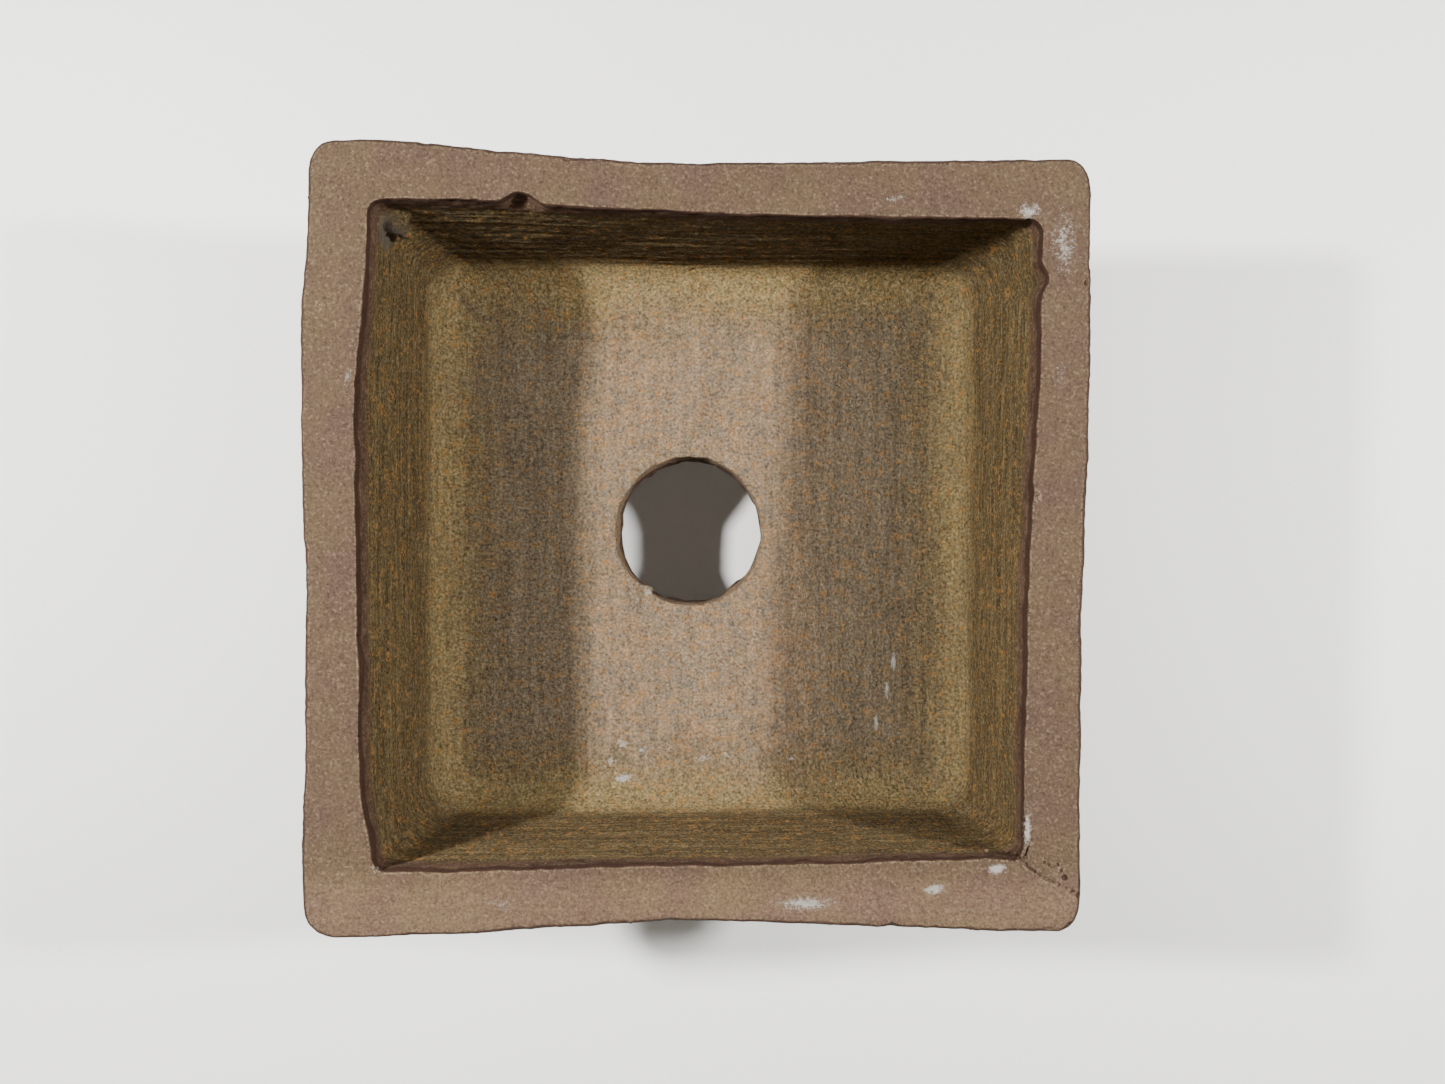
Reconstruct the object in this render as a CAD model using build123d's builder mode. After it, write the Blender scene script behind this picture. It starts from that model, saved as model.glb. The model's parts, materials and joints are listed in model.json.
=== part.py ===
from build123d import *

import os

# Square unglazed bonsai pot, slab-built by hand from stoneware clay. A floor slab carries four mitred
# wall slabs, and four mitred lip strips cap the walls. Four bracket feet lift the floor for drainage,
# and coils of clay are pressed into the inside seams. Millimetres, +Z up and out of the opening,
# origin on the ground under the middle of the pot.

# Overall size
pot_width = 78.0
foot_height = 9.5
floor_thickness = 7.0
inner_depth = 24.5

# Lip
lip_width = 5.6
lip_height = 3.4
lip_overhang = 1.7
lip_outer_corner = 2.7
lip_inner_corner = 1.2
lip_outer_round = 0.9
lip_inner_round = 0.4

# Walls, which stand square on the floor and were pinched in along the rim as they dried
wall_draw_outside = 1.1
wall_draw_inside = 1.5
wall_outer_corner = 2.4
pinch_front_back = 1.3
pinch_left_right = 0.4

# Coils in the inside seams
corner_coil_radius = 4.0
floor_coil_radius = 3.6
corner_coil_foot = 6.5  # how far a corner coil's foot spreads along the floor from its corner

# Drain hole, cut by hand a little off the middle
drain_radius = 9.0
drain_x = -1.2
drain_y = 1.2
drain_edge_round = 0.4

# Bracket feet, each with two legs that arch up to the floor slab
foot_leg_length = 18.0
foot_thickness = 6.0
foot_inset = 0.8
foot_arch_radius = 7.6
foot_outer_corner = 2.0
foot_sole_round = 0.5

# Heights and half widths that follow from the sizes above
floor_top = foot_height + floor_thickness
pot_height = floor_top + inner_depth
lip_bottom = pot_height - lip_height
lip_half = pot_width / 2
wall_half_top = lip_half - lip_overhang
wall_half_bottom = wall_half_top - wall_draw_outside
opening_half = lip_half - lip_width
cavity_half_bottom = opening_half - wall_draw_inside
foot_half = wall_half_bottom - foot_inset
floor_coil_end = cavity_half_bottom - corner_coil_foot

side_angles = {"right": 0, "back": 90, "left": 180, "front": 270}
corner_angles = {"back_right": 0, "back_left": 90, "front_left": 180, "front_right": 270}


def pot_plan(half, z, pinch_share=1.0, corner_radius=0.0):
    # The pot's plan at one height: a square with its sides pinched in by a share of the rim's pinch
    pinch_y = pinch_front_back * pinch_share
    pinch_x = pinch_left_right * pinch_share
    with BuildSketch(Plane.XY.offset(z)) as outline:
        with BuildLine():
            if pinch_share:
                ThreePointArc((-half, -half), (0, pinch_y - half), (half, -half))
                ThreePointArc((half, -half), (half - pinch_x, 0), (half, half))
                ThreePointArc((half, half), (0, half - pinch_y), (-half, half))
                ThreePointArc((-half, half), (pinch_x - half, 0), (-half, -half))
            else:
                Polyline((-half, -half), (half, -half), (half, half), (-half, half), close=True)
        make_face()
        if corner_radius:
            fillet(outline.vertices(), corner_radius)
    return outline.sketch


def side_wedge(angle):
    # A triangle from the middle of the pot out through one side, with its edges along the mitres
    with BuildSketch() as wedge:
        with BuildLine():
            Polyline((0, 0), (pot_width, -pot_width), (pot_width, pot_width), close=True)
        make_face()
    return wedge.sketch.rotate(Axis.Z, angle)


def corner_block(angle):
    # The square of the plan that holds one corner coil
    with BuildSketch() as block:
        with BuildLine():
            Polyline(
                (floor_coil_end, floor_coil_end),
                (pot_width, floor_coil_end),
                (pot_width, pot_width),
                (floor_coil_end, pot_width),
                close=True,
            )
        make_face()
    return block.sketch.rotate(Axis.Z, angle)


def side_block(angle):
    # The strip of the plan that holds one floor coil, between two corner coils
    with BuildSketch() as block:
        with BuildLine():
            Polyline(
                (0, -floor_coil_end),
                (pot_width, -floor_coil_end),
                (pot_width, floor_coil_end),
                (0, floor_coil_end),
                close=True,
            )
        make_face()
    return block.sketch.rotate(Axis.Z, angle)


def cavity_faces():
    # The inside of the walls, at the floor and under the lip
    return [
        pot_plan(cavity_half_bottom, floor_top, pinch_share=0.0),
        pot_plan(opening_half, lip_bottom),
    ]


os.makedirs("parts", exist_ok=True)

# Floor slab, with the drain hole cut through it
with BuildPart() as floor_slab:
    extrude(pot_plan(wall_half_bottom, foot_height, 0.0, wall_outer_corner), amount=floor_thickness)
    with Locations((drain_x, drain_y, floor_top)):
        Hole(radius=drain_radius)
    drain_edges = floor_slab.edges().filter_by(GeomType.CIRCLE).sort_by(SortBy.RADIUS)[-2:]
    fillet(drain_edges, drain_edge_round)
floor_slab.part.label = "floor_slab"
export_step(floor_slab.part, "parts/floor_slab.step")

# Walls, four slabs that stand on the floor slab and meet at mitred corners
with BuildPart() as wall_ring:
    loft(
        [
            pot_plan(wall_half_bottom, floor_top, 0.0, wall_outer_corner),
            pot_plan(wall_half_top, lip_bottom, 1.0, wall_outer_corner),
        ],
        ruled=True,
    )
    loft(cavity_faces(), ruled=True, mode=Mode.SUBTRACT)

for side, angle in side_angles.items():
    with BuildPart() as wall:
        add(wall_ring.part)
        extrude(side_wedge(angle), amount=pot_height, mode=Mode.INTERSECT)
    wall.part.label = f"wall_{side}"
    export_step(wall.part, f"parts/wall_{side}.step")

# Lip, four mitred strips that cap the walls and stand proud of them outside
with BuildPart() as lip_ring:
    extrude(pot_plan(lip_half, lip_bottom, 1.0, lip_outer_corner), amount=lip_height)
    extrude(pot_plan(opening_half, lip_bottom, 1.0, lip_inner_corner), amount=lip_height, mode=Mode.SUBTRACT)
    fillet(lip_ring.faces().sort_by(Axis.Z)[-1].outer_wire().edges(), lip_outer_round)
    fillet(lip_ring.faces().sort_by(Axis.Z)[0].outer_wire().edges(), lip_outer_round)
    fillet(lip_ring.faces().sort_by(Axis.Z)[-1].inner_wires()[0].edges(), lip_inner_round)

for side, angle in side_angles.items():
    with BuildPart() as lip:
        add(lip_ring.part)
        extrude(side_wedge(angle), amount=pot_height, mode=Mode.INTERSECT)
    lip.part.label = f"lip_{side}"
    export_step(lip.part, f"parts/lip_{side}.step")

# Seam coils, which are what the rounded soil space leaves of the sharp-cornered cavity
with BuildPart() as soil_space:
    loft(cavity_faces(), ruled=True)
    upright_edges = soil_space.edges().filter_by(lambda edge: edge.bounding_box().size.Z > inner_depth / 2)
    fillet(upright_edges, corner_coil_radius)
    fillet(soil_space.faces().sort_by(Axis.Z)[0].edges(), floor_coil_radius)

with BuildPart() as seam_fill:
    loft(cavity_faces(), ruled=True)
    add(soil_space.part, mode=Mode.SUBTRACT)

for side, angle in side_angles.items():
    with BuildPart() as floor_coil:
        add(seam_fill.part)
        extrude(side_block(angle), amount=pot_height, mode=Mode.INTERSECT)
    floor_coil.part.label = f"floor_coil_{side}"
    export_step(floor_coil.part, f"parts/floor_coil_{side}.step")

for corner, angle in corner_angles.items():
    with BuildPart() as corner_coil:
        add(seam_fill.part)
        extrude(corner_block(angle), amount=pot_height, mode=Mode.INTERSECT)
    corner_coil.part.label = f"corner_coil_{corner}"
    export_step(corner_coil.part, f"parts/corner_coil_{corner}.step")

# Feet, one bracket at each corner with two arched legs
with BuildPart() as foot_blank:
    with BuildSketch(Plane.XZ.offset(-foot_half)) as leg_profile:
        with BuildLine():
            leg_end = foot_half - foot_leg_length
            toe_end = leg_end + foot_arch_radius
            Polyline((toe_end, 0), (foot_half, 0), (foot_half, foot_height), (leg_end, foot_height))
            Line((leg_end, foot_height), (leg_end, foot_arch_radius))
            RadiusArc((leg_end, foot_arch_radius), (toe_end, 0), foot_arch_radius)
        make_face()
    extrude(amount=foot_thickness)
    add(foot_blank.part.mirror(Plane((0, 0, 0), x_dir=(1, 1, 0), z_dir=(1, -1, 0))))
    with BuildSketch() as foot_outline:
        Rectangle(2 * foot_half, 2 * foot_half)
        fillet(foot_outline.vertices(), foot_outer_corner)
    extrude(amount=foot_height, mode=Mode.INTERSECT)
    fillet(foot_blank.faces().sort_by(Axis.Z)[0].outer_wire().edges(), foot_sole_round)

for corner, angle in corner_angles.items():
    with BuildPart() as foot:
        add(foot_blank.part, rotation=(0, 0, angle))
    foot.part.label = f"foot_{corner}"
    export_step(foot.part, f"parts/foot_{corner}.step")
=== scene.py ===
import json
import math

import bmesh
import bpy
import numpy as np
from mathutils import Matrix, Vector


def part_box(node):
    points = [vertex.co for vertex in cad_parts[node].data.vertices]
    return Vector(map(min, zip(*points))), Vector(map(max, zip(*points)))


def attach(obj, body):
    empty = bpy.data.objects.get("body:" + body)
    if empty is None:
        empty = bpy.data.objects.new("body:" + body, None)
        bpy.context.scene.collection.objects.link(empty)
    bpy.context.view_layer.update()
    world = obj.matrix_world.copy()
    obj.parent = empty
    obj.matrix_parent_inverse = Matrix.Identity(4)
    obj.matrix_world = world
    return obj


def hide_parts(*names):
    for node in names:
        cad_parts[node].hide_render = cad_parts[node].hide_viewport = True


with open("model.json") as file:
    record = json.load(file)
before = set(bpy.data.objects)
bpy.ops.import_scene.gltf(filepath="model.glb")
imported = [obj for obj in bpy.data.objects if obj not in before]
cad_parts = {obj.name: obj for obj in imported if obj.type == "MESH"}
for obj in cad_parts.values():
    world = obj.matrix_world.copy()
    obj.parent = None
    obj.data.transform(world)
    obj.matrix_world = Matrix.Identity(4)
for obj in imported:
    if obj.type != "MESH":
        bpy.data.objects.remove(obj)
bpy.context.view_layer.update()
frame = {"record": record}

scene = bpy.context.scene
mm = 0.001                      # everything is modelled in millimetres and brought to metres at the end


def nodeBox(node):
    low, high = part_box(node)
    return low / mm, high / mm


slabLow, slabHigh = nodeBox("floor_slab")
lipLow, lipHigh = nodeBox("lip_right")
wallLow, wallHigh = nodeBox("wall_right")
footLow, footHigh = nodeBox("foot_back_right")
drainMount = next(m for m in frame["record"]["mounts"] if m["name"] == "drain_hole")

lipShape = {
    "width": 5.6,
    "corner": 2.7,
    "edge": 0.9,                # rounding of its outer edges
    "openingCorner": 1.2,
    "pinch": 0.06,              # how far its rounded corners draw its box in
}
wallShape = {"corner": 2.4}
footShape = {"thickness": 6.0, "archRadius": 7.6}
overlap = 0.1                   # how far joined blocks run into each other

# The potter's main sizes, read from the frame
pot = {
    "soleZ": footLow.z,
    "undersideZ": slabLow.z,
    "floorZ": slabHigh.z,
    "lipZ": lipLow.z,
    "rimZ": lipHigh.z,
    "baseHalf": slabHigh.x,
    "wallHalf": wallHigh.x,
    "lipHalf": lipHigh.x + lipShape["pinch"],           # to the lip's corner, before it is rounded
    "cavityHalf": wallLow.x,
    "openingHalf": lipHigh.x + lipShape["pinch"] - lipShape["width"],
    "footHalf": footHigh.x,
    "footInner": footLow.x,
    "drainX": drainMount["pos_m"][0] / mm,
    "drainY": drainMount["pos_m"][1] / mm,
    "drainRadius": drainMount["dims"]["r_mm"],
}

voxelSize = 0.235


def link(name, bm):
    mesh = bpy.data.meshes.new(name)
    bm.to_mesh(mesh)
    bm.free()
    thing = bpy.data.objects.new(name, mesh)
    scene.collection.objects.link(thing)
    return thing


def rounded(bm, edges, radius, segments):
    bmesh.ops.bevel(bm, geom=edges, offset=radius, offset_type="OFFSET", segments=segments, profile=0.5,
                    affect="EDGES", material=-1)


def uprightEdges(bm):
    return [e for e in bm.edges if abs(e.verts[0].co.z - e.verts[1].co.z) > 0.01]


def block(name, lowHalf, highHalf, lowZ, highZ, corner=0.0, edge=0.0):
    # a square block that may widen upwards, with rounded upright corners and rounded rings
    bm = bmesh.new()
    bmesh.ops.create_cube(bm, size=2)
    for v in bm.verts:
        half, z = (highHalf, highZ) if v.co.z > 0 else (lowHalf, lowZ)
        v.co = (v.co.x * half, v.co.y * half, z)
    if corner:
        rounded(bm, uprightEdges(bm), corner, 8)
    if edge:
        rings = [e for e in bm.edges if abs(e.verts[0].co.z - e.verts[1].co.z) < 0.01]
        rounded(bm, rings, edge, 4)
    return link(name, bm)


def box(name, low, high, turn=0.0):
    # a plain box between two corners, turned about the pot's axis
    bm = bmesh.new()
    bmesh.ops.create_cube(bm, size=1)
    size = Vector(high) - Vector(low)
    bmesh.ops.scale(bm, vec=size, verts=bm.verts)
    bmesh.ops.translate(bm, vec=(Vector(low) + Vector(high)) / 2, verts=bm.verts)
    bmesh.ops.rotate(bm, cent=(0, 0, 0), matrix=Matrix.Rotation(turn, 3, "Z"), verts=bm.verts)
    return link(name, bm)


def rod(name, centre, radius, length, axis, segments=48, flare=1.0):
    bm = bmesh.new()
    bmesh.ops.create_cone(bm, cap_ends=True, segments=segments, radius1=radius,
                          radius2=radius * flare, depth=length)
    if axis == "X":
        bmesh.ops.rotate(bm, cent=(0, 0, 0), matrix=Matrix.Rotation(math.pi / 2, 3, "Y"), verts=bm.verts)
    if axis == "Y":
        bmesh.ops.rotate(bm, cent=(0, 0, 0), matrix=Matrix.Rotation(math.pi / 2, 3, "X"), verts=bm.verts)
    bmesh.ops.translate(bm, vec=centre, verts=bm.verts)
    return link(name, bm)


def pebble(name, centre, radii):
    bm = bmesh.new()
    bmesh.ops.create_icosphere(bm, subdivisions=3, radius=1)
    bmesh.ops.scale(bm, vec=radii, verts=bm.verts)
    bmesh.ops.translate(bm, vec=centre, verts=bm.verts)
    return link(name, bm)


def applied(thing):
    # the mesh with its modifiers applied
    graph = bpy.context.evaluated_depsgraph_get()
    mesh = bpy.data.meshes.new_from_object(thing.evaluated_get(graph))
    thing.modifiers.clear()
    thing.data = mesh
    return thing


def carve(thing, other, operation, solver="EXACT", keep=False):
    cut = thing.modifiers.new("carve", "BOOLEAN")
    cut.object, cut.operation, cut.solver = other, operation, solver
    cut.material_mode = "TRANSFER"
    applied(thing)
    if not keep:
        bpy.data.objects.remove(other)
    return thing


def clayNoise(place, size, seed):
    # smooth noise from -1 to 1 with bumps about as wide as size, which may differ along the three axes
    p = place / np.asarray(size, float) + seed * 7.31
    cell = np.floor(p).astype(np.int64)
    f = p - cell
    f = f * f * (3 - 2 * f)
    total = np.zeros(len(place))
    for corner in range(8):
        step = np.array([corner & 1, corner >> 1 & 1, corner >> 2 & 1])
        c = cell + step
        h = (c[:, 0] * 374761393 + c[:, 1] * 668265263 + c[:, 2] * 2147483647 + seed * 974711) & 0xffffffff
        h = ((h ^ (h >> 13)) * 1274126177) & 0xffffffff
        h = (h ^ (h >> 16)) / 0xffffffff * 2 - 1
        w = np.where(step, f, 1 - f).prod(axis=1)
        total += h * w
    return total


def ramp(value, low, high):
    # 0 at low, 1 at high, smooth between
    t = np.clip((value - low) / (high - low), 0, 1)
    return t * t * (3 - 2 * t)


def dent(distance, radius):
    # 1 in the middle of a dent, 0 at its edge
    return np.clip(1 - (distance / radius) ** 2, 0, 1) ** 2


# The clay body, before it is worked by hand

body = block("clayBody", pot["baseHalf"], pot["baseHalf"], pot["undersideZ"], pot["floorZ"] + overlap,
             corner=wallShape["corner"])
wallBlock = block("walls", pot["baseHalf"], pot["wallHalf"], pot["floorZ"], pot["lipZ"] + overlap,
                  corner=wallShape["corner"])
carve(body, wallBlock, "UNION")
lipBlock = block("lip", pot["lipHalf"], pot["lipHalf"], pot["lipZ"], pot["rimZ"],
                 corner=lipShape["corner"], edge=lipShape["edge"])
carve(body, lipBlock, "UNION")
inner, outer = pot["footInner"], pot["footHalf"]
backOfLeg = outer - footShape["thickness"]
for sx in (-1, 1):
    for sy in (-1, 1):
        for nearX, nearY in ((inner, backOfLeg), (backOfLeg, inner)):
            low = (min(sx * nearX, sx * outer), min(sy * nearY, sy * outer), pot["soleZ"])
            high = (max(sx * nearX, sx * outer), max(sy * nearY, sy * outer), pot["undersideZ"] + overlap)
            carve(body, box("leg", low, high), "UNION")
for s in (-1, 1):
    carve(body, rod("arch", (s * inner, 0, pot["soleZ"]), footShape["archRadius"], 200, "Y"), "DIFFERENCE")
    carve(body, rod("arch", (0, s * inner, pot["soleZ"]), footShape["archRadius"], 200, "X"), "DIFFERENCE")

# The cavity: its upright corners are round at the floor and sharper under the lip
cavityCorner = {"atFloor": 4.6, "atLip": 1.7, "floorSeam": 4.2}
cavity = block("cavity", pot["cavityHalf"], pot["openingHalf"], pot["floorZ"], pot["lipZ"] + overlap)
bm = bmesh.new()
bm.from_mesh(cavity.data)
rounded(bm, uprightEdges(bm), cavityCorner["atFloor"], 10)
arcStart = pot["openingHalf"] - cavityCorner["atFloor"]
newArcStart = pot["openingHalf"] - cavityCorner["atLip"]
for v in bm.verts:
    if v.co.z > pot["lipZ"]:
        for axis in (0, 1):
            beyond = max(abs(v.co[axis]) - arcStart, 0) / cavityCorner["atFloor"]
            v.co[axis] = math.copysign(newArcStart + cavityCorner["atLip"] * beyond, v.co[axis])
bottom = [e for e in bm.edges if all(abs(v.co.z - pot["floorZ"]) < 0.01 for v in e.verts)]
rounded(bm, bottom, cavityCorner["floorSeam"], 8)
bm.to_mesh(cavity.data)
bm.free()
carve(body, cavity, "DIFFERENCE")
opening = block("opening", pot["openingHalf"], pot["openingHalf"], pot["lipZ"], pot["rimZ"] + 5,
                corner=lipShape["openingCorner"])
carve(body, opening, "DIFFERENCE")
drain = {"tight": 0.25, "length": 12, "flare": 1.03}
drainMiddle = (pot["drainX"], pot["drainY"], (pot["undersideZ"] + pot["floorZ"]) / 2)
drainKnife = rod("drain", drainMiddle, pot["drainRadius"] - drain["tight"], drain["length"], "Z", segments=64,
                 flare=drain["flare"])
carve(body, drainKnife, "DIFFERENCE")

# bits of clay left by the potter's fingers: a squeezed lump high in one corner, a curl at the hole's edge
cornerLump = {
    "big": (-32.2, 32.6, pot["rimZ"] - 5.0),
    "small": (-31.4, 31.7, pot["rimZ"] - 6.0),
    "stain": (-31.9, 32.2, pot["rimZ"] - 5.3),
}
for lump, centre, radii in (
    ("cornerLump", cornerLump["big"], (1.5, 1.4, 1.3)),
    ("cornerLump", cornerLump["small"], (0.8, 0.7, 0.8)),
    ("holeCurl", (pot["drainX"] - 5.4, pot["drainY"] - 7.1, pot["floorZ"] - 0.25), (1.1, 0.5, 0.4)),
    ("rimCrumb", (29.8, -32.6, pot["rimZ"] - 0.05), (0.5, 0.4, 0.25)),
):
    carve(body, pebble(lump, centre, radii), "UNION")

skin = body.modifiers.new("skin", "REMESH")
skin.mode, skin.voxel_size, skin.adaptivity = "VOXEL", voxelSize, 0
applied(body)
print("clay body", len(body.data.vertices), "points", [round(x, 2) for x in body.dimensions])


# The crack at one corner of the rim, where the lip strips were luted

crack = {
    "main": ((32.1, -31.2), (33.3, -32.3), (34.5, -33.2), (35.8, -33.8), (38.3, -35.1)),
    "branch": ((32.6, -31.4), (33.0, -30.5), (33.5, -29.2)),
    "width": 0.2,
    "depth": 0.85,
    "corner": (31, -28),        # the faces beyond this place, down to this depth, are made finer
    "fineDepth": 1.2,
}


def distanceToLine(place, line):
    # distance in plan from each point to a run of straight stretches, and how far along it the point is
    best = np.full(len(place), 1e9)
    along = np.zeros(len(place))
    for k, (a, b) in enumerate(zip(line, line[1:])):
        a, b = np.array(a), np.array(b)
        t = np.clip(((place[:, :2] - a) @ (b - a)) / ((b - a) @ (b - a)), 0, 1)
        d = np.linalg.norm(place[:, :2] - (a + t[:, None] * (b - a)), axis=1)
        nearer = d < best
        best[nearer] = d[nearer]
        along[nearer] = (k + t[nearer]) / (len(line) - 1)
    return best, along


def points(mesh):
    co = np.empty(len(mesh.vertices) * 3, np.float32)
    mesh.vertices.foreach_get("co", co)
    return co.reshape(-1, 3).astype(float)


def refineCrack(thing):
    # finer faces beside the crack, so that it can be cut as a real groove
    bm = bmesh.new()
    bm.from_mesh(thing.data)
    cornerX, cornerY = crack["corner"]
    for closeness in (0.65, 0.38):
        near, centres = [], []
        for f in bm.faces:
            middle = f.calc_center_median()
            if middle.z > pot["rimZ"] - crack["fineDepth"] and middle.x > cornerX and middle.y < cornerY:
                near.append(f)
                centres.append(middle)
        centres = np.array(centres)
        d = np.minimum(distanceToLine(centres, crack["main"])[0], distanceToLine(centres, crack["branch"])[0])
        edges = list(dict.fromkeys(e for f, gap in zip(near, d) if gap < closeness for e in f.edges))
        bmesh.ops.subdivide_edges(bm, edges=edges, cuts=1, use_grid_fill=True)
    bmesh.ops.triangulate(bm, faces=[f for f in bm.faces if len(f.verts) > 4])
    bm.to_mesh(thing.data)
    bm.free()


refineCrack(body)
print("crack refined", len(body.data.vertices), "points")


# Each edge of the rim wanders a little: (place along the side, how far it stands out from the square), in mm
rimEdges = {
    "outer": {
        "left": ((-36, -0.2), (-10, -0.4), (15, 0.2), (36, -0.6)),
        "right": ((-36, -0.5), (-12, -0.6), (20, 0.5)),
        "front": ((-37, 0.5), (0, -1.2), (37, -0.2)),
        "back": ((-37, 0.9), (0, -1.4), (37, -1.1)),
    },
    "inner": {
        "left": ((-34, -1.8), (-24, -0.5), (12, 0.0), (34, -1.4)),
        "right": ((-30, -0.9), (-10, -0.5), (26, 1.0)),
        "front": ((-30, -0.8), (0, -1.4), (32, -2.1)),
        "back": ((-30, 0.3), (12, -1.3), (34, -1.7)),
    },
    "floor": {"left": -0.5, "right": -0.2, "front": -0.1, "back": 0.9},
    "wallShare": 0.8,           # how much of the lip's wander the wall below it shares
    "nick": {"side": "right", "place": 27.5, "halfWidth": 1.8, "deep": 0.7},
}


def edgeCurve(where, pairs):
    # a smooth run through a few points, level at each of them
    value = np.full(len(where), float(pairs[0][1]))
    for (start, low), (end, high) in zip(pairs, pairs[1:]):
        value += (high - low) * ramp(where, start, end)
    return value


def warpedSides(place):
    moved = place.copy()
    height = np.clip((place[:, 2] - pot["floorZ"]) / (pot["rimZ"] - pot["floorZ"]), 0, 1)
    lipShare = ramp(place[:, 2], pot["lipZ"] - 6, pot["lipZ"] + 0.5)
    for axis, names in ((0, ("left", "right")), (1, ("front", "back"))):
        across, beside = place[:, axis], place[:, 1 - axis]
        reach = np.abs(across)
        out = np.clip((reach - pot["openingHalf"]) / (pot["lipHalf"] - pot["openingHalf"] - 0.6), 0, 1)
        fade = ramp(reach, 10, pot["cavityHalf"] - 1)
        for sign, name in zip((-1, 1), names):
            side = np.sign(across) == sign
            innerRim = edgeCurve(beside[side], rimEdges["inner"][name])
            if name == rimEdges["nick"]["side"]:
                fromNick = abs(beside[side] - rimEdges["nick"]["place"])
                innerRim += rimEdges["nick"]["deep"] * dent(fromNick, rimEdges["nick"]["halfWidth"])
            outerRim = edgeCurve(beside[side], rimEdges["outer"][name])
            h, share = height[side], rimEdges["wallShare"] + (1 - rimEdges["wallShare"]) * lipShare[side]
            innerNow = rimEdges["floor"][name] * (1 - h) + innerRim * h
            outerNow = outerRim * h * share
            o = out[side]
            moved[side, axis] += sign * (innerNow * (1 - o) + outerNow * o) * fade[side]
    return moved


handwork = {
    "slabLumps": (9.0, 0.16),       # size of a bump across, and how far it stands out, in mm
    "thumbLumps": (3.6, 0.07),
    "wallSand": (0.95, 0.05),
    "sand": (0.55, 0.045),
    "wipeLength": 16.0,
    "wipeWidth": 0.8,
    "wipeDepth": 0.075,
    "tornEdge": ((2.6, 0.2), (0.9, 0.1)),
    "holeEdge": ((2.4, 0.22), (0.8, 0.12)),
}


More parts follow.
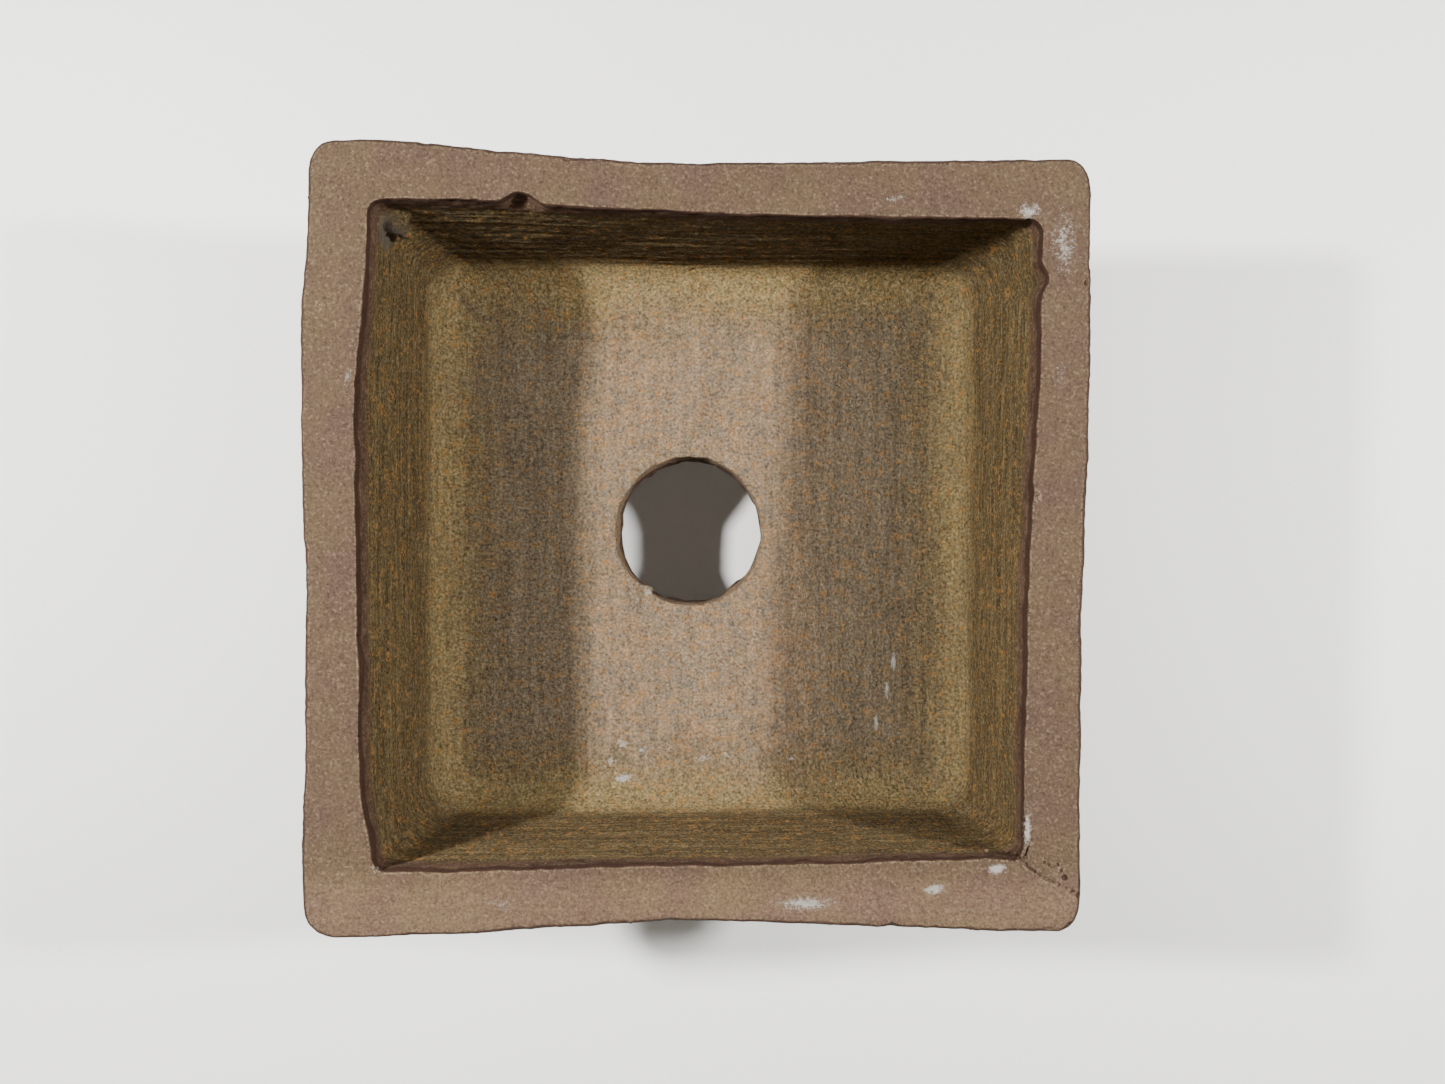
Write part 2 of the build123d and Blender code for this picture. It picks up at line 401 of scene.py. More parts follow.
def worked(thing):
    mesh = thing.data
    place = points(mesh)
    normal = np.empty(len(mesh.vertices) * 3, np.float32)
    mesh.vertex_normals.foreach_get("vector", normal)
    normal = normal.reshape(-1, 3).astype(float)
    x, y, z = place.T
    reach = np.maximum(abs(x), abs(y))
    inside = (reach < pot["openingHalf"] + 0.6) & (z > pot["floorZ"] - 0.5)
    rimTop = ramp(z, pot["rimZ"] - 0.5, pot["rimZ"] - 0.1)
    onWall = inside * ramp(z, pot["floorZ"] + 1.5, pot["floorZ"] + 5)
    onWall = onWall * (1 - ramp(z, pot["lipZ"] - 0.5, pot["lipZ"] + 1))
    moved = warpedSides(place)

    # lumps and sand stand out along the surface; the rim was sanded flatter than the rest
    size, rise = handwork["slabLumps"]
    swell = clayNoise(place, size, 1) * rise
    size, rise = handwork["thumbLumps"]
    swell += clayNoise(place, size, 2) * rise * (1 - 0.5 * rimTop)
    size, rise = handwork["wallSand"]
    swell += clayNoise(place, size, 3) * rise * np.where(inside, 1.0, 0.6) * (1 - 0.6 * rimTop)
    size, rise = handwork["sand"]
    swell += clayNoise(place, size, 4) * rise * (1 - 0.45 * rimTop)

    # wipe marks run along the walls, parallel to the rim
    long, wide = handwork["wipeLength"], handwork["wipeWidth"]
    alongY = clayNoise(place, (wide * 2, long, wide), 5)
    alongY += 0.6 * clayNoise(place, (wide, long * 0.6, wide * 0.5), 6)
    alongX = clayNoise(place, (long, wide * 2, wide), 7)
    alongX += 0.6 * clayNoise(place, (long * 0.6, wide, wide * 0.5), 8)
    wipe = np.where(abs(x) > abs(y), alongY, alongX)
    swell += wipe * handwork["wipeDepth"] * onWall
    onFloor = inside * (1 - ramp(z, pot["floorZ"] + 0.5, pot["floorZ"] + 2))
    swell += alongY * 0.5 * handwork["wipeDepth"] * onFloor

    # the inside edge of the rim is torn and the outside edge is worn
    edgeBand = np.exp(-((reach - pot["openingHalf"]) / 0.9) ** 2)
    edgeBand *= ramp(z, pot["rimZ"] - 2.6, pot["rimZ"] - 0.4)
    for k, (size, rise) in enumerate(handwork["tornEdge"]):
        swell += clayNoise(place, size, 9 + k) * rise * edgeBand
    wornBand = np.exp(-((reach - pot["lipHalf"] + 0.3) / 0.7) ** 2)
    wornBand *= ramp(z, pot["rimZ"] - 2.0, pot["rimZ"] - 0.2)
    swell += clayNoise(place, 1.3, 12) * 0.07 * wornBand

    # the drain hole was cut with a knife and never trimmed
    fromDrain = place[:, :2] - (pot["drainX"], pot["drainY"])
    radial = np.linalg.norm(fromDrain, axis=1)
    onHole = np.exp(-((radial - pot["drainRadius"]) / 0.8) ** 2)
    onHole = onHole * (z > pot["undersideZ"] - 0.5) * (z < pot["floorZ"] + 0.5)
    ring = place * (1, 1, 0.35)
    for k, (size, rise) in enumerate(handwork["holeEdge"]):
        swell += clayNoise(ring, size, 14 + k) * rise * onHole
    moved += normal * swell[:, None]

    # a piece has broken out of the back lip's inside edge
    fromNotch = abs(x - notch["x"] + 0.35 * (y - notch["y"]))
    depth = ramp(z, pot["rimZ"] - notch["height"], pot["rimZ"] - 0.4 * notch["height"])
    depth *= ramp(y, notch["y"] - 4, notch["y"] - 1) * (1 - ramp(y, notch["y"] + 0.2, notch["y"] + 2.6))
    moved[:, 1] += notch["deep"] * dent(fromNotch, notch["halfWidth"]) * depth

    # chips: (x, y, height, radius across, depth inwards)
    for cx, cy, cz, radius, depth in chips:
        distance = np.linalg.norm((place - (cx, cy, cz)) * (1, 1, 0.8), axis=1)
        moved -= normal * (dent(distance, radius) * depth)[:, None]

    # pits where grains fell out, and grains that stand proud
    rng = np.random.default_rng(11)
    outside = (reach > pot["openingHalf"] + 2) & (z > pot["undersideZ"])
    zones = (
        (z > pot["rimZ"] - 0.4, 70, (0.16, 0.34), (0.08, 0.3)),                 # pits in the rim
        (inside, 130, (0.22, 0.5), (0.1, 0.38)),                                # pits inside
        (outside, 170, (0.2, 0.5), (0.08, 0.3)),                                # pits outside
        (inside, 260, (0.22, 0.36), (-0.2, -0.08)),                             # grains inside
        (reach > pot["openingHalf"], 300, (0.2, 0.34), (-0.14, -0.05)),         # grains outside
    )
    for zone, count, radii, depths in zones:
        spots = rng.choice(np.flatnonzero(zone), count, replace=False)
        for spot, radius, depth in zip(spots, rng.uniform(*radii, count), rng.uniform(*depths, count)):
            near = np.flatnonzero((abs(place - place[spot]) < radius).all(axis=1))
            d = np.linalg.norm(place[near] - place[spot], axis=1)
            moved[near] -= normal[near] * (dent(d, radius) * depth)[:, None]

    # the crack is a narrow cut that fades out along its length
    onRim = ramp(z, pot["rimZ"] - 1.0, pot["rimZ"] - 0.15)
    for line, strength in (("main", 1.0), ("branch", 0.55)):
        distance, along = distanceToLine(moved, crack[line])
        width = crack["width"] * strength * (1.15 - 0.45 * along)
        moved[:, 2] -= crack["depth"] * strength * (1 - 0.4 * along) * dent(distance, width) * onRim

    moved[:, 2] = np.maximum(moved[:, 2], pot["soleZ"])
    mesh.vertices.foreach_set("co", moved.astype(np.float32).ravel())
    mesh.update()


notch = {"x": -17.4, "y": 33.1, "halfWidth": 2.7, "deep": 1.05, "height": 3.2}
chips = (
    (-28.4, 32.0, pot["rimZ"] - 8.5, 0.45, 0.7),        # torn pits in the back wall and the corner fills
    (-26.7, 32.2, pot["rimZ"] - 6.8, 0.4, 0.6),
    (-25.0, 31.9, pot["rimZ"] - 10.0, 0.5, 0.6),
    (-29.8, 29.6, pot["rimZ"] - 14.0, 0.5, 0.6),
    (-29.0, -30.3, pot["rimZ"] - 15.0, 0.6, 0.7),
    (-30.6, -29.5, pot["rimZ"] - 12.0, 0.5, 0.6),
    (29.4, -30.4, pot["rimZ"] - 13.5, 0.6, 0.7),
    (31.0, -31.0, pot["rimZ"] - 8.0, 0.5, 0.6),
    (33.6, 4.5, pot["rimZ"] - 0.3, 1.0, 0.35),
    (39.0, 29.0, pot["rimZ"] - 0.4, 0.7, 0.4),
    (38.3, 27.0, pot["rimZ"], 0.32, 0.75),              # a deep pinhole in the right lip
    (-39.0, -39.0, pot["lipZ"] + 1, 2.0, 0.5),
    (20.0, -39.0, pot["rimZ"] - 0.3, 0.9, 0.35),
    (-28.0, 39.0, pot["rimZ"] - 0.3, 0.8, 0.3),
)
worked(body)
print("clay worked", [round(x, 2) for x in body.dimensions])


# Where the worked clay is cut into the pot's own pieces, in mm
seams = {
    "footTop": pot["undersideZ"] - 0.25,
    "slabTop": pot["floorZ"] + 1.0,
    "lipBottom": pot["lipZ"] - 0.4,
    "coilTop": pot["floorZ"] + 4.4,
    "cornerOuter": 47.3,            # along the diagonal, just behind the inside corner
    "cornerHalfWidth": 3.4,
    "far": 60.0,
}
quarterTurn = math.pi / 2
sideTurns = {"right": 0, "back": 1, "left": 2, "front": 3}
cornerTurns = {"back_right": 0, "back_left": 1, "front_left": 2, "front_right": 3}


def pulledAndTurned(bm, face, pull, turns):
    # a face pulled out into a solid and turned to its side of the pot
    up = bmesh.ops.extrude_face_region(bm, geom=[face])
    bmesh.ops.translate(bm, vec=pull, verts=[v for v in up["geom"] if isinstance(v, bmesh.types.BMVert)])
    bmesh.ops.rotate(bm, cent=(0, 0, 0), matrix=Matrix.Rotation(turns * quarterTurn, 3, "Z"), verts=bm.verts)
    bmesh.ops.recalc_face_normals(bm, faces=bm.faces)


def mitreWedge(turns, lowZ, highZ):
    # the quarter of the plan that lies towards one side, between two mitres
    bm = bmesh.new()
    far = seams["far"]
    corners = [bm.verts.new(p) for p in ((0, 0, lowZ), (far, -far, lowZ), (far, far, lowZ))]
    face = bm.faces.new(corners)
    pulledAndTurned(bm, face, (0, 0, highZ - lowZ), turns)
    return link("mitreWedge", bm)


def cornerCutter(turns):
    low = (20, -seams["cornerHalfWidth"], seams["slabTop"])
    high = (seams["cornerOuter"], seams["cornerHalfWidth"], seams["lipBottom"])
    return box("cornerCutter", low, high, turn=(turns + 0.5) * quarterTurn)


def coilCutter(turns):
    # a long prism over the seam between the floor and one wall; its sloping back lies inside the wall
    bm = bmesh.new()
    backX, far = pot["cavityHalf"] + 1.5, seams["far"] / 2
    slope = 0.55
    top = seams["coilTop"] + 3
    bottomX, topX = backX, backX - (top - seams["slabTop"]) * slope
    corners = [bm.verts.new(p) for p in ((20, -far, seams["slabTop"]), (bottomX, -far, seams["slabTop"]),
                                         (topX, -far, top), (20, -far, top))]
    face = bm.faces.new(corners)
    pulledAndTurned(bm, face, (0, 2 * far, 0), turns)
    return link("coilCutter", bm)


def layer(lowZ, highZ):
    far = seams["far"]
    return box("layer", (-far, -far, lowZ), (far, far, highZ))


clayMark = bpy.data.materials.new("clayMark")
cutMark = bpy.data.materials.new("cutMark")
body.data.materials.append(clayMark)


def takePart(source, cutter, name, keepCutter=False):
    # the part of the worked clay inside the cutter, with its cut faces marked so that their edges can be kept
    # sharp
    part = bpy.data.objects.new(name, source.data)
    scene.collection.objects.link(part)
    if not cutter.data.materials:
        cutter.data.materials.append(cutMark)
    carve(part, cutter, "INTERSECT", solver="MANIFOLD", keep=keepCutter)
    return part


def thinned(part, share, keepAbove):
    # fewer triangles below a height, where nothing fine shows
    group = part.vertex_groups.new(name="coarse")
    group.add([v.index for v in part.data.vertices if v.co.z < keepAbove], 1.0, "REPLACE")
    fewer = part.modifiers.new("fewer", "DECIMATE")
    fewer.ratio, fewer.vertex_group = share, group.name
    applied(part)
    part.vertex_groups.clear()
    return part


def finishPart(part, nodes, material):
    bm = bmesh.new()
    bm.from_mesh(part.data)
    cutSlots = {k for k, m in enumerate(part.data.materials) if m == cutMark}
    for f in bm.faces:
        f.smooth = True
    for e in bm.edges:
        if len(e.link_faces) == 2:
            a, b = (f.material_index in cutSlots for f in e.link_faces)
            e.smooth = a == b
    bmesh.ops.scale(bm, vec=(mm, mm, mm), verts=bm.verts)
    for f in bm.faces:
        f.material_index = 0
    bm.to_mesh(part.data)
    bm.free()
    part.data.materials.clear()
    part.data.materials.append(material)
    part.data.update()
    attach(part, "root")
    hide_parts(*nodes)
    triangles = sum(len(p.vertices) - 2 for p in part.data.polygons)
    print(part.name, triangles, "triangles")
    return part


def toLinear(hexColour):
    # sRGB hex to linear red, green, blue, alpha
    channels = [int(hexColour[k:k + 2], 16) / 255 for k in (1, 3, 5)]
    return tuple(c / 12.92 if c <= 0.04045 else ((c + 0.055) / 1.055) ** 2.4 for c in channels) + (1.0,)


def addNode(tree, kind, *values, settings=None, out=0, **links):
    # one node, its settings, and what feeds its inputs: in order, by name, or as i and a number; gives an output
    node = tree.nodes.new(kind)
    for key, value in (settings or {}).items():
        setattr(node, key, value)
    feeds = dict(enumerate(values))
    for key, value in links.items():
        feeds[int(key[1:]) if key[0] == "i" and key[1:].isdigit() else key] = value
    for key, value in feeds.items():
        if isinstance(value, bpy.types.NodeSocket):
            tree.links.new(value, node.inputs[key])
        else:
            node.inputs[key].default_value = value
    return node.outputs[out]


# Unglazed stoneware, fired reddish brown: a dry, sandy clay body with no gloss. The rim was sanded and looks
# mauve and finely speckled; the inside was wiped with a wet finger and has taken an olive stain from use; the
# outside is plain and darker. Sizes are in mm.
stoneware = {
    "rimTan": "#64523D", "rimMauve": "#5D493D",
    "outside": "#543A2C", "outsideDark": "#38241A", "outsideLight": "#66503E",
    "wall": "#5A4A2D", "wallOlive": "#746542", "wallDark": "#33281B", "cove": "#8A7850",
    "lump": "#5E564C", "rolledEdgeShade": "#3A241B",
    "floor": "#8D785F", "floorWarm": "#9A7B5B", "floorGrey": "#73695A", "floorShadedSide": "#746753",
    "ochre": "#A9773C", "paleGrain": "#A08B6E", "darkGrain": "#1F160F",
    "deposit": "#B4AFA5",
    "grain": 0.24,                  # sand grains, across; drawn a little coarse so that they show
    "cloud": 7.0,                   # patches of colour
    "smear": 22.0,                  # length of a wipe mark
    "frontStrip": 1.46,            # how much paler the front lip strip is
    "specular": 0.16,
    "mottlePerMm": 0.55,            # patterns, in repeats to a millimetre
    "clusterPerMm": 0.9,
    "crustPerMm": 2.9,
    "sandPerMm": 3.4,
}

# What sets one finish apart: how dull it is, how deep its sand is in metres, how pale its grains are
finishes = {
    "stonewareRimSanded": {"roughness": (0.78, 0.95), "bump": 0.0004, "pale": 0.22},
    "stonewareWallWiped": {"roughness": (0.84, 0.98), "bump": 0.00042, "pale": 0.3},
    "stonewareSeamLuted": {"roughness": (0.84, 0.98), "bump": 0.00042, "pale": 0.3},
    "stonewareFloorPressed": {"roughness": (0.84, 0.98), "bump": 0.00042, "pale": 0.3},
    "stonewareFootCut": {"roughness": (0.86, 0.98), "bump": 0.00042, "pale": 0.3},
}

# Whitish mineral deposits: (x, y, radius along x, radius along y, strength), in mm
deposits = {
    "rim": (
        (36.6, 29.5, 2.4, 6.4, 0.5), (33.2, 32.6, 2.0, 1.2, 0.7), (36.4, 16.5, 1.6, 3.4, 0.35),
        (11.0, -35.8, 4.4, 1.1, 0.7), (23.8, -34.4, 1.6, 0.8, 0.85), (-19.0, -35.9, 3.0, 1.0, 0.45),
        (30.0, -32.4, 1.4, 0.8, 0.9), (33.0, -28.6, 0.6, 3.4, 0.75), (19.8, 33.8, 2.6, 0.9, 0.45),
        (-34.2, 15.9, 0.9, 3.0, 0.45), (-31.5, -32.5, 1.8, 1.0, 0.4),
    ),
    "floor": (
        (23.6, -14.6, 0.45, 1.6, 0.95), (22.8, -18.0, 0.4, 1.9, 0.8), (21.5, -22.0, 0.4, 1.7, 0.95),
        (12.7, -19.0, 0.4, 1.8, 0.5), (15.2, -23.2, 0.4, 1.3, 0.5), (-9.4, -24.6, 1.2, 1.0, 0.6),
        (-10.6, -26.7, 0.9, 0.9, 0.65), (-9.2, -28.7, 2.0, 0.9, 0.75), (-6.9, -25.3, 0.9, 0.8, 0.6),
        (0.6, -26.3, 1.3, 0.8, 0.6), (3.4, -26.0, 0.9, 0.7, 0.55), (11.2, -26.4, 1.2, 0.7, 0.5),
        (-31.6, 0.8, 0.7, 0.5, 0.8), (-7.0, -5.0, 0.7, 0.8, 0.7), (-6.0, -6.2, 0.9, 0.6, 0.8),
    ),
}


multiply = {"operation": "MULTIPLY"}
multiplyAdd = {"operation": "MULTIPLY_ADD"}
blend = {"data_type": "RGBA"}
tint = {"data_type": "RGBA", "blend_type": "MULTIPLY"}
smooth = {"interpolation_type": "SMOOTHSTEP"}


def makeStoneware(name, look, finish):
    material = bpy.data.materials.new(name)
    material.use_nodes = True
    tree = material.node_tree
    shader = tree.nodes["Principled BSDF"]
    colour = {k: toLinear(v) for k, v in look.items() if isinstance(v, str)}
    floorZ, rimZ = pot["floorZ"], pot["rimZ"]

    # place in millimetres
    objectPlace = addNode(tree, "ShaderNodeTexCoord", out="Object")
    place = addNode(tree, "ShaderNodeMapping", Vector=objectPlace, Scale=(1 / mm,) * 3)
    axes = addNode(tree, "ShaderNodeSeparateXYZ", place).node.outputs
    height = axes["Z"]
    absX = addNode(tree, "ShaderNodeMath", axes["X"], settings={"operation": "ABSOLUTE"})
    absY = addNode(tree, "ShaderNodeMath", axes["Y"], settings={"operation": "ABSOLUTE"})
    reach = addNode(tree, "ShaderNodeMath", absX, absY, settings={"operation": "MAXIMUM"})
    cloud = addNode(tree, "ShaderNodeTexNoise", Vector=place, Scale=1 / look["cloud"], Detail=4.0, Roughness=0.6)
    mottle = addNode(tree, "ShaderNodeTexNoise", Vector=place, Scale=look["mottlePerMm"], Detail=5.0,
                     Roughness=0.65)
    wobble = addNode(tree, "ShaderNodeMapRange", mottle, 0.3, 0.7, -1.0, 1.0)

    # wipe marks: noise drawn out along each wall, parallel to the rim, and from front to back on the floor
    alongX = addNode(tree, "ShaderNodeMapping", Vector=place, Scale=(1 / look["smear"], 0.8, 1.5))
    alongY = addNode(tree, "ShaderNodeMapping", Vector=place, Scale=(0.8, 1 / look["smear"], 1.5))
    smearX = addNode(tree, "ShaderNodeTexNoise", Vector=alongX, Scale=1.6, Detail=5.0, Roughness=0.7)
    smearY = addNode(tree, "ShaderNodeTexNoise", Vector=alongY, Scale=1.6, Detail=5.0, Roughness=0.7)
    sideways = addNode(tree, "ShaderNodeMath", absX, absY, settings={"operation": "GREATER_THAN"})
    wallSmear = addNode(tree, "ShaderNodeMix", sideways, settings={"data_type": "FLOAT"}, i2=smearX, i3=smearY)
    offFloor = addNode(tree, "ShaderNodeMapRange", height, floorZ + 0.4, floorZ + 2.5)
    smear = addNode(tree, "ShaderNodeMix", offFloor, settings={"data_type": "FLOAT"}, i2=smearY, i3=wallSmear)

    # sand: every cell is a grain of its own tone
    grains = addNode(tree, "ShaderNodeTexVoronoi", Vector=place, Scale=1 / look["grain"], Randomness=1.0,
                     out="Color")
    tone = addNode(tree, "ShaderNodeSeparateColor", grains).node.outputs
    fineSand = addNode(tree, "ShaderNodeTexNoise", Vector=place, Scale=look["sandPerMm"], Detail=6.0,
                       Roughness=0.75)
    crust = addNode(tree, "ShaderNodeTexNoise", Vector=place, Scale=look["crustPerMm"], Detail=5.0,
                    Roughness=0.7)

    # where on the pot: on top of the rim
    normal = addNode(tree, "ShaderNodeNewGeometry", out="Normal")
    facing = addNode(tree, "ShaderNodeSeparateXYZ", normal, out="Z")
    nearTop = addNode(tree, "ShaderNodeMapRange", height, rimZ - 1.4, rimZ - 1.0)
    facingUp = addNode(tree, "ShaderNodeMapRange", facing, 0.5, 0.8)
    onRim = addNode(tree, "ShaderNodeMath", nearTop, facingUp, settings=multiply)

    # inside, below a worn line under the lip
    within = addNode(tree, "ShaderNodeMath", reach, pot["openingHalf"] + 2.1, settings={"operation": "LESS_THAN"})
    above = addNode(tree, "ShaderNodeMath", height, floorZ - 3.5, settings={"operation": "GREATER_THAN"})
    wornHeight = addNode(tree, "ShaderNodeMath", wobble, 0.6, height, settings=multiplyAdd)
    belowLip = addNode(tree, "ShaderNodeMapRange", wornHeight, pot["lipZ"] - 0.3, pot["lipZ"] + 0.7, 1.0, 0.0)
    inside = addNode(tree, "ShaderNodeMath", within, above, settings=multiply)
    stained = addNode(tree, "ShaderNodeMath", inside, belowLip, settings=multiply)

    # on the floor, and in the rounded seam between the floor and the walls
    wornReach = addNode(tree, "ShaderNodeMath", wobble, 1.5, reach, settings=multiplyAdd)
    patchyReach = addNode(tree, "ShaderNodeMath", cloud, 9.0, wornReach, settings=multiplyAdd)
    onFloor = addNode(tree, "ShaderNodeMapRange", patchyReach, 26.0, 37.0, 1.0, 0.0, settings=smooth)
    outwards = addNode(tree, "ShaderNodeMapRange", patchyReach, 27.0, 36.5, settings=smooth)
    lowDown = addNode(tree, "ShaderNodeMapRange", wornHeight, floorZ + 1.5, floorZ + 6.5, 1.0, 0.0,
                      settings=smooth)
    inCove = addNode(tree, "ShaderNodeMath", outwards, lowDown, settings=multiply)
    # painted shade: the floor is painted darker and greyer towards the left and right walls, where only one lamp
    # reaches it
    patchyShadedSide = addNode(tree, "ShaderNodeMath", cloud, 12.0, absX, settings=multiplyAdd)
    toShadedSides = addNode(tree, "ShaderNodeMapRange", patchyShadedSide, 16.0, 24.0, settings=smooth)

    # base colours of the rim and the outside
    cloudy = addNode(tree, "ShaderNodeMapRange", cloud, 0.35, 0.65)
    mottled = addNode(tree, "ShaderNodeMapRange", mottle, 0.35, 0.68)
    smeared = addNode(tree, "ShaderNodeMapRange", smear, 0.33, 0.67)
    rim = addNode(tree, "ShaderNodeMix", cloudy, settings=blend, out=2, i6=colour["rimMauve"],
                  i7=colour["rimTan"])
    frontStrip = addNode(tree, "ShaderNodeMapRange", axes["Y"], -32.0, -35.0, 1.0, look["frontStrip"])
    rim = addNode(tree, "ShaderNodeMix", 1.0, settings=tint, out=2, i6=rim, i7=frontStrip)
    outside = addNode(tree, "ShaderNodeMix", cloudy, settings=blend, out=2, i6=colour["outsideDark"],
                      i7=colour["outside"])
    outside = addNode(tree, "ShaderNodeMix", mottled, settings=blend, out=2, i6=outside,
                      i7=colour["outsideLight"])
    shell = addNode(tree, "ShaderNodeMix", onRim, settings=blend, out=2, i6=outside, i7=rim)

    # base colours of the walls, the seams and the floor
    wall = addNode(tree, "ShaderNodeMix", smeared, settings=blend, out=2, i6=colour["wallDark"],
                   i7=colour["wallOlive"])
    wall = addNode(tree, "ShaderNodeMix", mottled, settings=blend, out=2, i6=wall, i7=colour["wall"])
    crusty = addNode(tree, "ShaderNodeMapRange", crust, 0.35, 0.6, 0.55, 1.0)
    crustyCove = addNode(tree, "ShaderNodeMath", inCove, crusty, settings=multiply)
    wall = addNode(tree, "ShaderNodeMix", crustyCove, settings=blend, out=2, i6=wall, i7=colour["cove"])
    floor = addNode(tree, "ShaderNodeMix", cloudy, settings=blend, out=2, i6=colour["floor"],
                    i7=colour["floorWarm"])
    floor = addNode(tree, "ShaderNodeMix", mottled, settings=blend, out=2, i6=floor, i7=colour["floorGrey"])
    # painted shade on the floor's left and right sides
    floor = addNode(tree, "ShaderNodeMix", toShadedSides, settings=blend, out=2, i6=floor, i7=colour["floorShadedSide"])
    inner = addNode(tree, "ShaderNodeMix", onFloor, settings=blend, out=2, i6=wall, i7=floor)
    smearTint = addNode(tree, "ShaderNodeMapRange", smear, 0.34, 0.66, 0.8, 1.2)
    inner = addNode(tree, "ShaderNodeMix", 1.0, settings=tint, out=2, i6=inner, i7=smearTint)
    crustTint = addNode(tree, "ShaderNodeMapRange", crust, 0.36, 0.64, 0.54, 1.43)
    inner = addNode(tree, "ShaderNodeMix", 1.0, settings=tint, out=2, i6=inner, i7=crustTint)
    clay = addNode(tree, "ShaderNodeMix", stained, settings=blend, out=2, i6=shell, i7=inner)

    # grains: a few pale, a few dark, and clusters of ochre ones inside
    pale = addNode(tree, "ShaderNodeMapRange", tone[0], 0.72, 0.98, 0.0, finish["pale"])
    clay = addNode(tree, "ShaderNodeMix", pale, settings=blend, out=2, i6=clay, i7=colour["paleGrain"])
    dark = addNode(tree, "ShaderNodeMapRange", tone[1], 0.76, 0.97, 0.0, finish["pale"])
    clay = addNode(tree, "ShaderNodeMix", dark, settings=blend, out=2, i6=clay, i7=colour["darkGrain"])
    clusters = addNode(tree, "ShaderNodeTexNoise", Vector=place, Scale=look["clusterPerMm"], Detail=4.0,
                       Roughness=0.7)
    clusters = addNode(tree, "ShaderNodeMapRange", clusters, 0.5, 0.62, 0.0, 0.7)
    ochre = addNode(tree, "ShaderNodeMapRange", tone[2], 0.45, 0.8)
    ochre = addNode(tree, "ShaderNodeMath", clusters, ochre, settings=multiply)
    ochre = addNode(tree, "ShaderNodeMath", ochre, stained, settings=multiply)
    clay = addNode(tree, "ShaderNodeMix", ochre, settings=blend, out=2, i6=clay, i7=colour["ochre"])
    sandTint = addNode(tree, "ShaderNodeMapRange", fineSand, 0.34, 0.66, 0.62, 1.38)
    clay = addNode(tree, "ShaderNodeMix", 1.0, settings=tint, out=2, i6=clay, i7=sandTint)

    # the lip is worn down to paler grains where it starts to roll over; beyond that, where the edge rolls away
    # from the light, it is darkened with painted shade
    leaning = addNode(tree, "ShaderNodeMapRange", facing, 0.98, 0.92)
    notYetOver = addNode(tree, "ShaderNodeMapRange", facing, 0.8, 0.9)
    edge = addNode(tree, "ShaderNodeMath", leaning, notYetOver, settings=multiply)
    edge = addNode(tree, "ShaderNodeMath", edge, nearTop, settings=multiply)
    edgeSand = addNode(tree, "ShaderNodeMapRange", fineSand, 0.47, 0.58, 0.0, 0.6)
    edge = addNode(tree, "ShaderNodeMath", edge, edgeSand, settings=multiply)
    clay = addNode(tree, "ShaderNodeMix", edge, settings=blend, out=2, i6=clay, i7=colour["paleGrain"])
    # painted shade: the outer edge of the lip is painted darker as it turns away from the light
    outerEdge = addNode(tree, "ShaderNodeMapRange", reach, pot["lipHalf"] - 3.0, pot["lipHalf"] - 1.5, 0.0, 0.12)
    turned = addNode(tree, "ShaderNodeMath", facing, outerEdge, settings={"operation": "SUBTRACT"})
    rolledShade = addNode(tree, "ShaderNodeMapRange", turned, 0.85, 0.68, 0.0, 0.8)
    rolledShade = addNode(tree, "ShaderNodeMath", rolledShade, nearTop, settings=multiply)
    clay = addNode(tree, "ShaderNodeMix", rolledShade, settings=blend, out=2, i6=clay, i7=colour["rolledEdgeShade"])

    # the lump squeezed into one corner has stayed dark
    fromLump = addNode(tree, "ShaderNodeVectorMath", place, cornerLump["stain"],
                       settings={"operation": "DISTANCE"}, out="Value")
    onLump = addNode(tree, "ShaderNodeMapRange", fromLump, 1.5, 2.4, 0.85, 0.0)
    clay = addNode(tree, "ShaderNodeMix", onLump, settings=blend, out=2, i6=clay, i7=colour["lump"])

    # whitish deposits with ragged outlines
    chalky = 0.0
    spots = [(*spot, rimZ) for spot in deposits["rim"]]
    spots += [(*spot, floorZ) for spot in deposits["floor"]]
    for x, y, wide, deep, strength, z in spots:
        spot = addNode(tree, "ShaderNodeMapping", settings={"vector_type": "TEXTURE"}, Vector=place,
                       Location=(x, y, z), Scale=(wide, deep, 1.8))
        away = addNode(tree, "ShaderNodeVectorMath", spot, settings={"operation": "LENGTH"}, out="Value")
        near = addNode(tree, "ShaderNodeMapRange", away, 0.1, 1.15, strength, 0.0)
        chalky = addNode(tree, "ShaderNodeMath", near, chalky, settings={"operation": "MAXIMUM"})
    torn = addNode(tree, "ShaderNodeTexNoise", Vector=place, Scale=look["crustPerMm"], Detail=5.0, Roughness=0.8)
    ragged = addNode(tree, "ShaderNodeMath", torn, 1.8, chalky, settings=multiplyAdd)
    chalk = addNode(tree, "ShaderNodeMapRange", ragged, 1.3, 1.6, 0.0, 0.85)
    clay = addNode(tree, "ShaderNodeMix", chalk, settings=blend, out=2, i6=clay, i7=colour["deposit"])
    tree.links.new(clay, shader.inputs["Base Color"])

    # dry, sandy surface
    roughness = addNode(tree, "ShaderNodeMapRange", mottle, 0.3, 0.7, *finish["roughness"])
    tree.links.new(roughness, shader.inputs["Roughness"])
    shader.inputs["Specular IOR Level"].default_value = look["specular"]
    relief = addNode(tree, "ShaderNodeMath", crust, 1.2, fineSand, settings=multiplyAdd)
    relief = addNode(tree, "ShaderNodeMath", smear, 0.6, relief, settings=multiplyAdd)
    bump = addNode(tree, "ShaderNodeBump", Height=relief, Strength=1.0, Distance=finish["bump"])
    tree.links.new(bump, shader.inputs["Normal"])
    return material


clays = {name: makeStoneware(name, stoneware, finish) for name, finish in finishes.items()}
print("clay finishes made")


# The pieces

